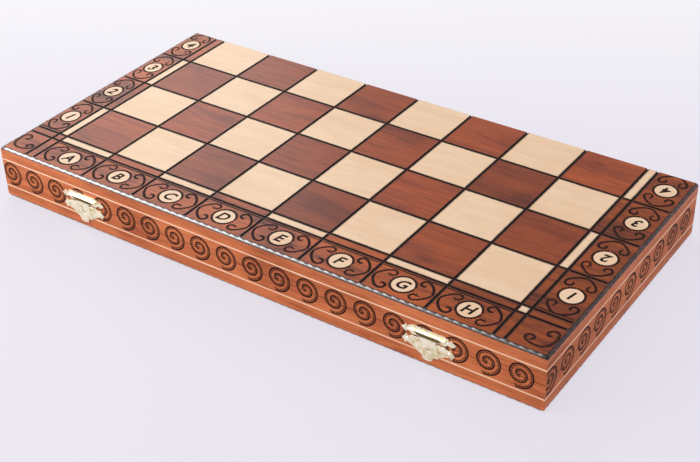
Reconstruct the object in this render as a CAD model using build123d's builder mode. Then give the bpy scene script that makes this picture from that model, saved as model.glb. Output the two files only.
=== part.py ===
from build123d import *
from math import cos, radians, sin
import os

# A folding wooden chess set, closed: two shallow half cases whose outer faces carry the board,
# hinged along the rear edge and held shut by two brass hasps, with the 32 men inside.
# X runs along the files A to H, -Y is the hasp side, +Y the hinge side and +Z is up.
# The origin is the middle of the underside. All sizes are in millimetres.

# Board: eight files by four ranks on each half
SQUARE = 55.0
FILES = 8
RANKS = 4
MARGIN_LEFT = 36.5  # from the squares to the edge of the case
MARGIN_RIGHT = 43.5
MARGIN_FRONT = 43.5
FOLD_RANK = 51.5  # the rank along the fold is a little shallower than the others
STRIP = 9.0  # narrow band of alternating woods round the squares
GROOVE_WIDTH = 1.8
GROOVE_DEPTH = 0.8
EDGE_CHAMFER = 2.0

# Case
LENGTH = MARGIN_LEFT + FILES * SQUARE + MARGIN_RIGHT
DEPTH = MARGIN_FRONT + (RANKS - 1) * SQUARE + FOLD_RANK
HEIGHT = 49.0
PANEL = 5.0
RAIL = 10.0
SEAM = HEIGHT / 2
SEAM_GAP = 0.2
FRONT = -DEPTH / 2
REAR = DEPTH / 2
STRINGING_HEIGHT = 1.2
STRINGING_DEPTH = 0.8
STRINGING_INSET = 11.0  # from the outer face of the board down to the pale line

# Butt hinges, let into the rear rails
HINGE_CENTRES = (-160.0, 160.0)
HINGE_LENGTH = 40.0
HINGE_LEAF = 15.0
HINGE_THICK = 1.0
HINGE_AXIS_Y = REAR + 0.15  # leaves the two boards 0.3 apart when the case lies open
HINGE_AXIS = (HINGE_AXIS_Y, SEAM)
BARREL_RADIUS = 2.45
BARREL_CLEAR = 0.5
BARREL_SIDES = 16
PIN_RADIUS = 0.9
PIN_CLEAR = 0.05
PIN_SIDES = 12
KNUCKLE_GAP = 0.2
CENTRE_KNUCKLE = 14.0
SCREW_SPACING = 26.0
SCREW_HEAD = 2.2
SCREW_SHANK = 1.1
SCREW_LENGTH = 8.0
SCREW_POINT = 2.0
SCREW_TIP = 0.3
HOLE_CLEAR = 0.1  # round a screw or nail
CUT_PAST = 1.0  # how far a cut runs past a face

# Hasps on the front
HASP_CENTRES = {"left": -167.0, "right": 167.0}
BRASS = 0.8
HASP_AXIS_Y = FRONT - 1.4
HASP_AXIS_Z = SEAM + 4.5
HASP_BARREL = 1.2
HASP_CLEAR = 0.3
HASP_PIN = 0.6
HASP_KNUCKLE = 20.0
PLATE_KNUCKLE = 4.0
UPPER_NAIL = (16.2, 3.5)  # beside the middle and above the seam
CATCH_NAIL = (17.6, -5.2)
NAIL_RADIUS = 0.5
NAIL_HEAD = 1.1
NAIL_CROWN = 0.6
NAIL_RISE = 0.45
NAIL_LENGTH = 7.0
NAIL_SIDES = 8
STUD_DROP = 12.6
STUD_RADIUS = 1.2
STUD_REACH = 2.6
STUD_HOLE = 1.7

# Insert that carries the men
FLOOR = 1.5
LINING = 1.0
SLOT_PITCH = 41.0
SLOTS = 12
RIB_TOP = 4.0
RIB_FOOT = 7.4
RIB_RISE = 15.5
BAR = 3.0
BAR_Y = (FRONT + RAIL + BAR / 2, -8.0, REAR - RAIL - BAR / 2)
FLOOR_Z = PANEL + FLOOR

# Men: (height, radius) pairs from the base up, turned with flats
SIDES = 10
FLAT_PHASE = 90 + 180 / SIDES  # puts one flat straight down when the man lies on its side
PROFILES = {
    "king": (
        (0, 17.5), (5, 17.5), (11, 11.8), (20, 8.4), (62, 5.2),
        (64, 9.4), (67, 9.4), (70, 7.0), (86, 11.0), (89, 8.5), (92, 3.0),
    ),
    "queen": (
        (0, 17.0), (5, 17.0), (10, 11.6), (19, 8.0), (57, 5.0),
        (59, 8.9), (62, 8.9), (64, 6.4), (80, 11.4), (84, 6.4), (90, 2.2),
    ),
    "bishop": (
        (0, 16.0), (4, 16.0), (10, 10.8), (18, 7.4), (46, 4.6),
        (48, 8.1), (51, 8.1), (54, 5.5), (63, 8.6), (74, 2.2), (79, 2.4),
    ),
    "knight": ((0, 16.0), (4, 16.0), (10, 11.6), (19, 10.8)),
    "rook": ((0, 16.0), (4, 16.0), (10, 11.2), (18, 8.6), (38, 7.0), (44, 11.8), (56, 11.8)),
    "pawn": (
        (0, 14.0), (4, 14.0), (10, 9.2), (31, 4.4), (34, 7.8), (37, 5.4), (45, 8.6), (54, 2.2),
    ),
}
CROSS_HEIGHT = 10.0
CROSS_ARM = 8.0
CROSS_BAR = 2.6
CROSS_SUNK = 0.5
CROWN_RIM = 80.0
CROWN_NOTCH = (3.0, 3.4)
CROWN_CORE = ((CROWN_RIM - 3, 8.0), (CROWN_RIM + 3, 6.6))
MITRE_PLACE = (5.5, 0, 66.0)
MITRE_SLANT = 40.0
MITRE_CUT = (9.0, 20.0, 1.8)
TOWER_FLOOR = 4.0
TOWER_BORE = 7.8
TOWER_SLOT = (4.2, 3.5)
KNIGHT_BLANK = 80.0
KNIGHT_THICK = 12.6
KNIGHT_NAPE = -4.0  # the head is at its full thickness here
KNIGHT_TAPER = 8.0  # degrees, each side, from there to the muzzle

SIDE_PLANES = {
    "front": Plane(origin=(0, FRONT, 0), x_dir=(1, 0, 0), z_dir=(0, 0, 1)),
    "rear": Plane(origin=(0, REAR, 0), x_dir=(-1, 0, 0), z_dir=(0, 0, 1)),
    "left": Plane(origin=(-LENGTH / 2, 0, 0), x_dir=(0, -1, 0), z_dir=(0, 0, 1)),
    "right": Plane(origin=(LENGTH / 2, 0, 0), x_dir=(0, 1, 0), z_dir=(0, 0, 1)),
}
SIDE_LENGTHS = {"front": LENGTH, "rear": LENGTH, "left": DEPTH, "right": DEPTH}
HALVES = {"lower": -1, "upper": 1}

os.makedirs("parts", exist_ok=True)


def save(name, *made):
    """Writes one piece, or a group of like pieces, as one named file."""
    solids = [one.part if isinstance(one, BuildPart) else one for one in made]
    piece = solids[0] if len(solids) == 1 else Compound(children=solids)
    piece.label = name
    export_step(piece, f"parts/{name}.step")


def faceted(rings, sides, phase=0.0):
    """A closed body with flat facets between rings of (height, radius) about the Z axis."""
    turns = [radians(phase + 360 / sides * k) for k in range(sides)]
    loops = [[Vector(r * cos(t), r * sin(t), h) for t in turns] for h, r in rings]
    faces = [Face(Wire.make_polygon(loops[0])), Face(Wire.make_polygon(loops[-1]))]
    for low, high in zip(loops[:-1], loops[1:]):
        for corners in zip(low, low[1:] + low[:1], high[1:] + high[:1], high):
            faces.append(Face(Wire.make_polygon(corners)))
    return Solid(Shell(faces))


# Board panels


def board_grooves(up):
    """The burned lines between the squares, on the sketch plane of a board face."""
    first_file = -LENGTH / 2 + MARGIN_LEFT
    file_lines = [first_file + i * SQUARE for i in range(FILES + 1)]
    file_lines += [file_lines[0] - STRIP, file_lines[-1] + STRIP]
    first_rank = FRONT + MARGIN_FRONT
    rank_lines = [first_rank - STRIP] + [first_rank + j * SQUARE for j in range(RANKS)]
    with Locations(*[(x, 0) for x in file_lines]):
        Rectangle(GROOVE_WIDTH, DEPTH + 2 * GROOVE_WIDTH)
    with Locations(*[(0, up * y) for y in rank_lines]):
        Rectangle(LENGTH + 2 * GROOVE_WIDTH, GROOVE_WIDTH)


def board_panel(up):
    """One half of the board: a slab with its three outer edges chamfered and the lines cut in."""
    face = Plane(origin=(0, 0, SEAM + up * SEAM), x_dir=(1, 0, 0), z_dir=(0, 0, up))
    with BuildPart() as panel:
        with BuildSketch(face):
            Rectangle(LENGTH, DEPTH)
        extrude(amount=-PANEL)
        rim = panel.faces().sort_by(Axis.Z)[-1 if up > 0 else 0].edges()
        chamfer(rim.sort_by(Axis.Y)[:-1], EDGE_CHAMFER)
        with BuildSketch(face):
            board_grooves(up)
        extrude(amount=-GROOVE_DEPTH, mode=Mode.SUBTRACT)
    return panel


for half, up in HALVES.items():
    save(f"{half}_board_panel", board_panel(up))


# Rails of the two half cases, mitred at the corners


def mitred_plan(length, width):
    """Plan of a bar along one side: its outer edge is length long and its ends run in at 45 degrees."""
    half = length / 2
    Polygon((-half, 0), (half, 0), (half - width, width), (width - half, width), align=None)


def hinge_spots(up):
    """Middles of the two leaves on one half."""
    return [(x, REAR - HINGE_THICK / 2, SEAM + up * HINGE_LEAF / 2) for x in HINGE_CENTRES]


def rail(side, up):
    """One side of a half case, grooved for the pale stringing and, at the rear, cut for the hinges."""
    plane, length = SIDE_PLANES[side], SIDE_LENGTHS[side]
    low = PANEL if up < 0 else SEAM + SEAM_GAP / 2
    tall = SEAM - PANEL - SEAM_GAP / 2
    room = BARREL_RADIUS + BARREL_CLEAR
    with BuildPart() as bar:
        with BuildSketch(plane.offset(low)):
            mitred_plan(length, RAIL)
        extrude(amount=tall)
        with BuildSketch(plane.offset(stringing_low(up))):
            mitred_plan(length, STRINGING_DEPTH)
        extrude(amount=STRINGING_HEIGHT, mode=Mode.SUBTRACT)
        if side == "rear":
            with Locations(*hinge_spots(up)):
                Box(HINGE_LENGTH, HINGE_THICK, HINGE_LEAF, mode=Mode.SUBTRACT)
            with Locations(*[(x, REAR, SEAM) for x in HINGE_CENTRES]):
                Box(HINGE_LENGTH + 2 * BARREL_CLEAR, 2 * room, 2 * room, mode=Mode.SUBTRACT)
    return bar


def stringing_low(up):
    """Height of the lower edge of the pale line on one half."""
    return HEIGHT - STRINGING_INSET - STRINGING_HEIGHT if up > 0 else STRINGING_INSET


def stringing(side, up):
    """The strip of pale wood let into the outer face of one rail."""
    with BuildPart() as strip:
        with BuildSketch(SIDE_PLANES[side].offset(stringing_low(up))):
            mitred_plan(SIDE_LENGTHS[side], STRINGING_DEPTH)
        extrude(amount=STRINGING_HEIGHT)
        if side == "rear":
            with Locations(*hinge_spots(up)):
                Box(HINGE_LENGTH, HINGE_THICK, HINGE_LEAF, mode=Mode.SUBTRACT)
    return strip


for half, up in HALVES.items():
    for side in SIDE_PLANES:
        save(f"{half}_{side}_rail", rail(side, up))
    save(f"{half}_stringing", *[stringing(side, up) for side in SIDE_PLANES])


# Butt hinges: a leaf let into each rear rail, three knuckles and a pin


def knuckle(x, length, centre, radius):
    """Adds one length of a barrel about a line along X through centre, given as (y, z)."""
    with Locations(Plane(origin=(x, centre[0], centre[1]), z_dir=(1, 0, 0))):
        Cylinder(radius, length)


def thin_rod(x, length, centre, radius, sides, mode=Mode.ADD):
    """Adds a pin or a slender barrel with flats, or cuts the bore for one, along the same kind of line."""
    with Locations(Plane(origin=(x, centre[0], centre[1]), z_dir=(1, 0, 0))):
        add(faceted(((-length / 2, radius), (length / 2, radius)), sides), mode=mode)


SCREW = (
    (-SCREW_LENGTH, SCREW_TIP),
    (SCREW_POINT - SCREW_LENGTH, SCREW_SHANK),
    (SCREW_SHANK + HOLE_CLEAR - SCREW_HEAD, SCREW_SHANK),
    (0, SCREW_HEAD - HOLE_CLEAR),
)
SCREW_HOLE = (
    (-HINGE_THICK - CUT_PAST, SCREW_SHANK + HOLE_CLEAR),
    (SCREW_SHANK + HOLE_CLEAR - SCREW_HEAD, SCREW_SHANK + HOLE_CLEAR),
    (0, SCREW_HEAD),
    (CUT_PAST, SCREW_HEAD),
)


def screw_spots(x, up):
    """The two countersunk holes of one leaf, looking out of the rear."""
    z = SEAM + up * (HINGE_LEAF + BARREL_RADIUS) / 2
    return [Plane((x + dx, REAR, z), (1, 0, 0), (0, 1, 0)) for dx in (-SCREW_SPACING / 2, SCREW_SPACING / 2)]


def hinge_leaf(x, up):
    """A brass leaf. The upper one has the middle knuckle and the lower one the two outer knuckles."""
    outer = (HINGE_LENGTH - CENTRE_KNUCKLE) / 2
    spots = [(x, CENTRE_KNUCKLE - KNUCKLE_GAP)]
    gaps = [(x - (HINGE_LENGTH - outer) / 2, outer), (x + (HINGE_LENGTH - outer) / 2, outer)]
    if up < 0:
        spots, gaps = [(at, size - KNUCKLE_GAP) for at, size in gaps], [(x, CENTRE_KNUCKLE)]
    with BuildPart() as leaf:
        with Locations((x, REAR - HINGE_THICK / 2, SEAM + up * HINGE_LEAF / 2)):
            Box(HINGE_LENGTH, HINGE_THICK, HINGE_LEAF)
        room = BARREL_RADIUS + BARREL_CLEAR
        for at, size in gaps:
            with Locations((at, REAR, SEAM)):
                Box(size + KNUCKLE_GAP, 2 * room, 2 * room, mode=Mode.SUBTRACT)
        for at, size in spots:
            knuckle(at, size, HINGE_AXIS, BARREL_RADIUS)
        thin_rod(x, HINGE_LENGTH + CUT_PAST, HINGE_AXIS, PIN_RADIUS + PIN_CLEAR, PIN_SIDES, Mode.SUBTRACT)
        with Locations(*screw_spots(x, up)):
            add(faceted(SCREW_HOLE, SIDES), mode=Mode.SUBTRACT)
    return leaf


def hinge_pin(x):
    """The wire that joins the two leaves."""
    with BuildPart() as pin:
        thin_rod(x, HINGE_LENGTH - KNUCKLE_GAP, HINGE_AXIS, PIN_RADIUS, PIN_SIDES)
    return pin


for half, up in HALVES.items():
    for name, x in zip(("left", "right"), HINGE_CENTRES):
        save(f"{half}_hinge_leaf_{name}", hinge_leaf(x, up))
    spots = [spot for x in HINGE_CENTRES for spot in screw_spots(x, up)]
    save(f"{half}_hinge_screws", *[spot.location * faceted(SCREW, SIDES) for spot in spots])
save("hinge_pins", *[hinge_pin(x) for x in HINGE_CENTRES])


# Hasps: a cut brass plate on each half, and a tongue that hangs over a stud


def face_plane(x, z, out=0.0):
    """A sketch plane on the front of the case: local x is X, local y is Z, and it looks outwards."""
    return Plane(origin=(x, FRONT - out, z), x_dir=(1, 0, 0), z_dir=(0, -1, 0))


def mirrored_outline(points):
    """A closed outline from its right half, listed from the top down."""
    Polygon(*points, *[(-x, y) for x, y in reversed(points)], align=None)


HASP_AXIS = (HASP_AXIS_Y, HASP_AXIS_Z)
UPPER_PLATE = (
    (13.6, 4.2), (14.6, 3.0), (16.0, 3.3), (17.5, 0.8), (18.6, 3.4), (20.0, 1.4), (22.9, -0.4),
    (20.9, -2.6), (18.6, -3.9), (17.2, -2.4), (15.6, -2.6), (14.2, -4.2),
)
CATCH_PLATE = (
    (14.0, -0.9), (15.2, -2.4), (17.4, -2.4), (19.0, -0.9), (19.6, -3.2), (22.3, -6.1), (20.6, -7.6),
    (19.6, -10.1), (17.6, -8.3), (15.2, -9.1), (11.9, -10.7), (9.7, -11.5), (7.8, -14.2), (4.6, -14.8),
)
HASP_TONGUE = (
    (HASP_KNUCKLE / 2, 0.0), (HASP_KNUCKLE / 2, -2.0), (7.2, -3.6), (6.4, -5.4), (7.4, -9.0), (9.4, -12.8),
    (9.1, -15.6), (7.9, -17.5), (6.1, -17.1), (4.6, -19.2), (3.9, -21.6), (1.6, -22.4),
)


NAIL = (
    (-NAIL_LENGTH, NAIL_RADIUS),
    (0, NAIL_RADIUS),
    (0, NAIL_HEAD),
    (NAIL_RISE, NAIL_CROWN),
)
NAIL_HOLE = ((-BRASS - CUT_PAST, NAIL_RADIUS + HOLE_CLEAR), (CUT_PAST, NAIL_RADIUS + HOLE_CLEAR))


def nail_spots(x, spot):
    """The two nails of one plate, looking out of the front."""
    return [face_plane(x + side * spot[0], SEAM + spot[1], BRASS) for side in (-1, 1)]


def nail_holes(x, spot):
    """Punched holes for them."""
    with Locations(*nail_spots(x, spot)):
        add(faceted(NAIL_HOLE, NAIL_SIDES), mode=Mode.SUBTRACT)


def clasp_plate(x):
    """The plate on the upper half, with a knuckle at each end of the tongue."""
    spots = [x + side * (HASP_KNUCKLE / 2 + PLATE_KNUCKLE / 2 + KNUCKLE_GAP) for side in (-1, 1)]
    with BuildPart() as plate:
        with BuildSketch(face_plane(x, HASP_AXIS_Z)):
            mirrored_outline(UPPER_PLATE)
        extrude(amount=BRASS)
        room = HASP_BARREL + HASP_CLEAR
        with Locations((x, HASP_AXIS_Y, HASP_AXIS_Z)):
            Box(HASP_KNUCKLE + 2 * KNUCKLE_GAP, 4 * room, 2 * room, mode=Mode.SUBTRACT)
        for at in spots:
            thin_rod(at, PLATE_KNUCKLE, HASP_AXIS, HASP_BARREL, BARREL_SIDES)
        through = HASP_KNUCKLE + 3 * PLATE_KNUCKLE
        thin_rod(x, through, HASP_AXIS, HASP_PIN + PIN_CLEAR, PIN_SIDES, Mode.SUBTRACT)
        nail_holes(x, UPPER_NAIL)
    return plate


def hasp(x):
    """The hanging tongue: one knuckle and a shaped plate with a hole for the stud."""
    with BuildPart() as tongue:
        with BuildSketch(face_plane(x, HASP_AXIS_Z, FRONT - HASP_AXIS_Y - BRASS / 2)):
            mirrored_outline(HASP_TONGUE)
            with Locations((0, -STUD_DROP)):
                Circle(STUD_HOLE, mode=Mode.SUBTRACT)
        extrude(amount=BRASS)
        thin_rod(x, HASP_KNUCKLE, HASP_AXIS, HASP_BARREL, BARREL_SIDES)
        through = HASP_KNUCKLE + CUT_PAST
        thin_rod(x, through, HASP_AXIS, HASP_PIN + PIN_CLEAR, PIN_SIDES, Mode.SUBTRACT)
    return tongue


def hasp_pin(x):
    """The wire through the tongue and both knuckles of its plate."""
    with BuildPart() as pin:
        thin_rod(x, HASP_KNUCKLE + 2 * PLATE_KNUCKLE, HASP_AXIS, HASP_PIN, PIN_SIDES)
    return pin


def catch_plate(x):
    """The plate on the lower half, with the stud that the tongue drops over."""
    with BuildPart() as plate:
        with BuildSketch(face_plane(x, SEAM)):
            mirrored_outline(CATCH_PLATE)
        extrude(amount=BRASS)
        with BuildSketch(face_plane(x, HASP_AXIS_Z - STUD_DROP)):
            Circle(STUD_RADIUS)
        extrude(amount=STUD_REACH)
        nail_holes(x, CATCH_NAIL)
    return plate


for name, x in HASP_CENTRES.items():
    save(f"clasp_plate_{name}", clasp_plate(x))
    save(f"catch_plate_{name}", catch_plate(x))
    save(f"hasp_{name}", hasp(x))
    save(f"hasp_pin_{name}", hasp_pin(x))
for plate, spot in (("clasp", UPPER_NAIL), ("catch", CATCH_NAIL)):
    spots = [place for x in HASP_CENTRES.values() for place in nail_spots(x, spot)]
    save(f"{plate}_plate_nails", *[place.location * faceted(NAIL, NAIL_SIDES) for place in spots])


# Insert: a lined floor with tapered ribs between cross bars


def slot_x(column):
    """Middle of one slot, counted from the left."""
    return (column - (SLOTS - 1) / 2) * SLOT_PITCH


def rib(x, y_low, y_high):
    """A rib between two slots, narrower at its top."""
    with BuildPart() as bar:
        with BuildSketch(Plane(origin=(x, y_low, FLOOR_Z), x_dir=(-1, 0, 0), z_dir=(0, 1, 0))):
            Polygon(
                (-RIB_FOOT / 2, 0),
                (RIB_FOOT / 2, 0),
                (RIB_TOP / 2, RIB_RISE),
                (-RIB_TOP / 2, RIB_RISE),
                align=None,
            )
        extrude(amount=y_high - y_low)
    return bar


def slab(width, depth, height, centre, bottom):
    """A plain sheet or bar, given by its middle in plan and its underside."""
    with BuildPart() as sheet:
        with BuildSketch(Plane(origin=(centre[0], centre[1], bottom))):
            Rectangle(width, depth)
        extrude(amount=height)
    return sheet


INNER_LENGTH = LENGTH - 2 * RAIL
INNER_DEPTH = DEPTH - 2 * RAIL
rib_lines = [slot_x(column) - SLOT_PITCH / 2 for column in range(SLOTS + 1)]
save("insert_floor", slab(INNER_LENGTH, INNER_DEPTH, FLOOR, (0, 0), PANEL))
save("insert_bars", *[slab(INNER_LENGTH, BAR, RIB_RISE, (0, y), FLOOR_Z) for y in BAR_Y])
save("insert_long_ribs", *[rib(x, BAR_Y[0] + BAR / 2, BAR_Y[1] - BAR / 2) for x in rib_lines])
save("insert_short_ribs", *[rib(x, BAR_Y[1] + BAR / 2, BAR_Y[2] - BAR / 2) for x in rib_lines])
save("lid_lining", slab(INNER_LENGTH, INNER_DEPTH, LINING, (0, 0), HEIGHT - PANEL - LINING))


# Men: each stands on the origin as it is made, and is then laid in its slot with its base to a bar


def king():
    """The cross stands on the dome of the crown."""
    top = PROFILES["king"][-1][0]
    with BuildPart() as man:
        add(faceted(PROFILES["king"], SIDES, FLAT_PHASE))
        with Locations((0, 0, top + CROSS_HEIGHT / 2 - CROSS_SUNK)):
            Box(CROSS_BAR, CROSS_BAR, CROSS_HEIGHT)
            Box(CROSS_ARM, CROSS_BAR, CROSS_BAR)
    return man


def queen():
    """Notches are cut round the rim of the crown, and the dome is put back inside them."""
    with BuildPart() as man:
        add(faceted(PROFILES["queen"], SIDES, FLAT_PHASE))
        with Locations(*[Pos(0, 0, CROWN_RIM) * Rot(0, 0, turn) for turn in (0, 60, 120)]):
            Box(2 * PROFILES["queen"][0][1], *CROWN_NOTCH, mode=Mode.SUBTRACT)
        add(faceted(CROWN_CORE, SIDES, FLAT_PHASE))
    return man


def bishop():
    """A slanting cut makes the mitre."""
    with BuildPart() as man:
        add(faceted(PROFILES["bishop"], SIDES, FLAT_PHASE))
        with Locations(Pos(*MITRE_PLACE) * Rot(0, MITRE_SLANT, 0)):
            Box(*MITRE_CUT, mode=Mode.SUBTRACT)
    return man


def rook():
    """The battlements are a hollow and two cross slots in the top."""
    top, radius = PROFILES["rook"][-1]
    hollow = ((top - TOWER_FLOOR, TOWER_BORE), (top + CUT_PAST, TOWER_BORE))
    width, depth = TOWER_SLOT
    with BuildPart() as man:
        add(faceted(PROFILES["rook"], SIDES, FLAT_PHASE))
        add(faceted(hollow, SIDES, FLAT_PHASE), mode=Mode.SUBTRACT)
        with Locations((0, 0, top)):
            Box(3 * radius, width, 2 * depth, mode=Mode.SUBTRACT)
            Box(width, 3 * radius, 2 * depth, mode=Mode.SUBTRACT)
    return man


def knight():
    """A horse's head, sawn from the side and narrowed to the muzzle, stands on a short turned base."""
    foot = PROFILES["knight"][-1][0]
    with BuildPart() as man:
        with BuildSketch(Plane.XZ):
            with BuildLine():
                crest = ThreePointArc((-9.0, foot - 1), (-11.5, foot + 26), (1.0, foot + 49))
                ear = Polyline(crest @ 1, (4.6, foot + 54), (5.4, foot + 47))
                brow = Line(ear @ 1, (10.0, foot + 40))
                muzzle = Polyline(brow @ 1, (14.6, foot + 30), (12.4, foot + 25.5), (8.0, foot + 26))
                throat = ThreePointArc(muzzle @ 1, (2.5, foot + 21), (4.0, foot + 11))
                chest = ThreePointArc(throat @ 1, (8.6, foot + 6), (9.6, foot - 1))
                Line(chest @ 1, crest @ 0)
            make_face()
        extrude(amount=KNIGHT_THICK / 2, both=True)
        for side, inner in ((-1, Align.MAX), (1, Align.MIN)):
            cheek = Pos(KNIGHT_NAPE, side * KNIGHT_THICK / 2, foot) * Rot(0, 0, -side * KNIGHT_TAPER)
            with Locations(cheek):
                aligned = (Align.CENTER, inner, Align.CENTER)
                Box(KNIGHT_BLANK, KNIGHT_THICK, 2 * KNIGHT_BLANK, align=aligned, mode=Mode.SUBTRACT)
        add(faceted(PROFILES["knight"], SIDES, FLAT_PHASE))
    return man


def pawn():
    """A plain turned man with a ball head."""
    with BuildPart() as man:
        add(faceted(PROFILES["pawn"], SIDES, FLAT_PHASE))
    return man


def lying(kind, column, base_y, away):
    """Where a man lies: its base at base_y, its head away along Y and its lowest flat on the floor."""
    height = FLOOR_Z + PROFILES[kind][0][1] * cos(radians(180 / SIDES))
    return Plane((slot_x(column), base_y, height), (away, 0, 0), (0, away, 0)).location


MEN = {
    "king": king(),
    "queen": queen(),
    "bishop": bishop(),
    "knight": knight(),
    "rook": rook(),
    "pawn": pawn(),
}
BASE_CLEAR = 1.0
LONG_BASE = ((BAR_Y[0] + BAR / 2 + BASE_CLEAR, 1),)
SHORT_BASES = ((BAR_Y[1] + BAR / 2 + BASE_CLEAR, 1), (BAR_Y[2] - BAR / 2 - BASE_CLEAR, -1))
SLOTS_OF = {
    "king": ((0,), LONG_BASE),
    "queen": ((1,), LONG_BASE),
    "bishop": ((2, 3), LONG_BASE),
    "knight": ((4, 5), LONG_BASE),
    "rook": ((0,), SHORT_BASES),
    "pawn": ((1, 2, 3, 4), SHORT_BASES),
}

for colour in ("light", "dark"):
    for kind, (columns, bases) in SLOTS_OF.items():
        slots = columns if colour == "light" else [SLOTS - 1 - column for column in columns]
        laid = [lying(kind, column, *base) * MEN[kind].part for column in slots for base in bases]
        save(f"{colour}_{kind}" if len(laid) == 1 else f"{colour}_{kind}s", *laid)
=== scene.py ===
import bmesh
import bpy
import numpy as np
from mathutils import Matrix, Vector
from mathutils.geometry import delaunay_2d_cdt


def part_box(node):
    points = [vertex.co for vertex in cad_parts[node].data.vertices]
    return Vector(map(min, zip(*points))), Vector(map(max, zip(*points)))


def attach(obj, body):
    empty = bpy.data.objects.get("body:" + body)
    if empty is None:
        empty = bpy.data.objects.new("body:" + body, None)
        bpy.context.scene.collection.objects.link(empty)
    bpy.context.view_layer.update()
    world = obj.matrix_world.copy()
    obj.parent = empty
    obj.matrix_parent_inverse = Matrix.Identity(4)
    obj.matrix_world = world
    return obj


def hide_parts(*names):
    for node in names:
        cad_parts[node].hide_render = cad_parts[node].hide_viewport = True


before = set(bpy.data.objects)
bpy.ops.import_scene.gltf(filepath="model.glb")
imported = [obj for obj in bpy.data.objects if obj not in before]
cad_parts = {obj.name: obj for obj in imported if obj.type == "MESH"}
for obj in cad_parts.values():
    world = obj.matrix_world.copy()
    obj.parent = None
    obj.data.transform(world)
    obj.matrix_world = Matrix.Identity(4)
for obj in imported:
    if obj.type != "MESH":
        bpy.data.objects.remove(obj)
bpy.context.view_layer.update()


# Board panels. Each half of the board is a birch panel, stained in squares through a stencil, burned
# along every line with a hot wheel, and varnished. The photograph shows the upper one; the lower one
# carries the other four ranks. The solids are the CAD nodes; this gives them their wood.

SQUARE = 0.055
HALF_LENGTH = 0.260
HALF_DEPTH = 0.130
THICKNESS = 0.049
SEAM = THICKNESS / 2
FIRST_FILE = -HALF_LENGTH + 0.0365
FIRST_RANK = -HALF_DEPTH + 0.0435
LAST_FILE = FIRST_FILE + 8 * SQUARE
STRIP = 0.009
DISC_RADIUS = 0.0088
FRONT_DISC_Y = FIRST_RANK - 0.0256
LEFT_DISC_X = FIRST_FILE - 0.0223
RIGHT_DISC_X = LAST_FILE + 0.0256
LINE_HALF = 0.00122
LINE_WOBBLE = 0.0008
EDGE_SOFT = 0.0002
SCORCH_REACH = 0.0013
RIM_CHAR = 0.0028
RIM_WOBBLE = 0.0012
STAIN_DEPTH = 0.00203
REAR_SKIN = 0.0001
TONE_LOW = 0.8
TONE_SPREAD = 0.5
# Where the border's painted shade starts and ends along x.
SHADE_START = 0.14
SHADE_END = 0.30

PALE_SQUARE = (0.92, 0.67, 0.43, 1)
PALE_STREAK = (0.84, 0.56, 0.335, 1)
STAIN = (0.37, 0.076, 0.018, 1)
STAIN_DEEP = (0.15, 0.027, 0.011, 1)
BORDER = (0.50, 0.105, 0.018, 1)
BORDER_DEEP = (0.085, 0.016, 0.008, 1)
SIDE_WOOD = (0.67, 0.20, 0.070, 1)
SIDE_DEEP = (0.35, 0.082, 0.028, 1)
CHAR = (0.022, 0.010, 0.008, 1)
# Scorch beside the burned lines, and also the colour of the painted shade at the rails' seam.
SCORCH_AND_SHADE = (0.10, 0.030, 0.012, 1)


def put(tree, kind, values=None, **settings):
    """Adds one shader node. A value that is a socket is linked, and any other is set."""
    node = tree.nodes.new("ShaderNode" + kind)
    for key, value in settings.items():
        setattr(node, key, value)
    for key, value in (values or {}).items():
        if isinstance(value, bpy.types.NodeSocket):
            tree.links.new(value, node.inputs[key])
        else:
            node.inputs[key].default_value = value
    return node


def calc(tree, operation, *values):
    """The output of one Math node."""
    return put(tree, "Math", dict(enumerate(values)), operation=operation).outputs[0]


def band(tree, value, low, high):
    """0 below low, 1 above high and smooth between them, or the other way round where low > high."""
    ends = {"Value": value, "From Min": min(low, high), "From Max": max(low, high)}
    ends.update({"To Min": 0.0, "To Max": 1.0} if low < high else {"To Min": 1.0, "To Max": 0.0})
    return put(tree, "MapRange", ends, interpolation_type="SMOOTHSTEP").outputs[0]


def vector(tree, operation, *values):
    """The output of one Vector Math node."""
    return put(tree, "VectorMath", dict(enumerate(values)), operation=operation).outputs[0]


def apart(tree, first, second):
    """How far apart two values are: |first - second|."""
    return calc(tree, "ABSOLUTE", calc(tree, "SUBTRACT", first, second))


def speckle(tree, place, scale, detail, roughness=0.5):
    """The value of one Noise Texture."""
    values = {"Vector": place, "Scale": scale, "Detail": detail, "Roughness": roughness}
    return put(tree, "TexNoise", values).outputs[0]


def shaded(tree, colour, value):
    """A colour with its brightness multiplied by value."""
    return put(tree, "HueSaturation", {"Color": colour, "Value": value}).outputs[0]


def blended(tree, mask, first, second):
    """first where the mask is 0 and second where it is 1."""
    node = put(tree, "Mix", data_type="RGBA")
    for index, value in ((0, mask), (6, first), (7, second)):
        if isinstance(value, bpy.types.NodeSocket):
            tree.links.new(value, node.inputs[index])
        else:
            node.inputs[index].default_value = value
    return node.outputs[2]


def new_group(name, inputs, outputs):
    """An empty node group with named sockets, and its input and output nodes."""
    group = bpy.data.node_groups.new(name, "ShaderNodeTree")
    for label, kind in inputs:
        group.interface.new_socket(label, in_out="INPUT", socket_type="NodeSocket" + kind)
    for label, kind in outputs:
        group.interface.new_socket(label, in_out="OUTPUT", socket_type="NodeSocket" + kind)
    return group, group.nodes.new("NodeGroupInput"), group.nodes.new("NodeGroupOutput")


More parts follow.
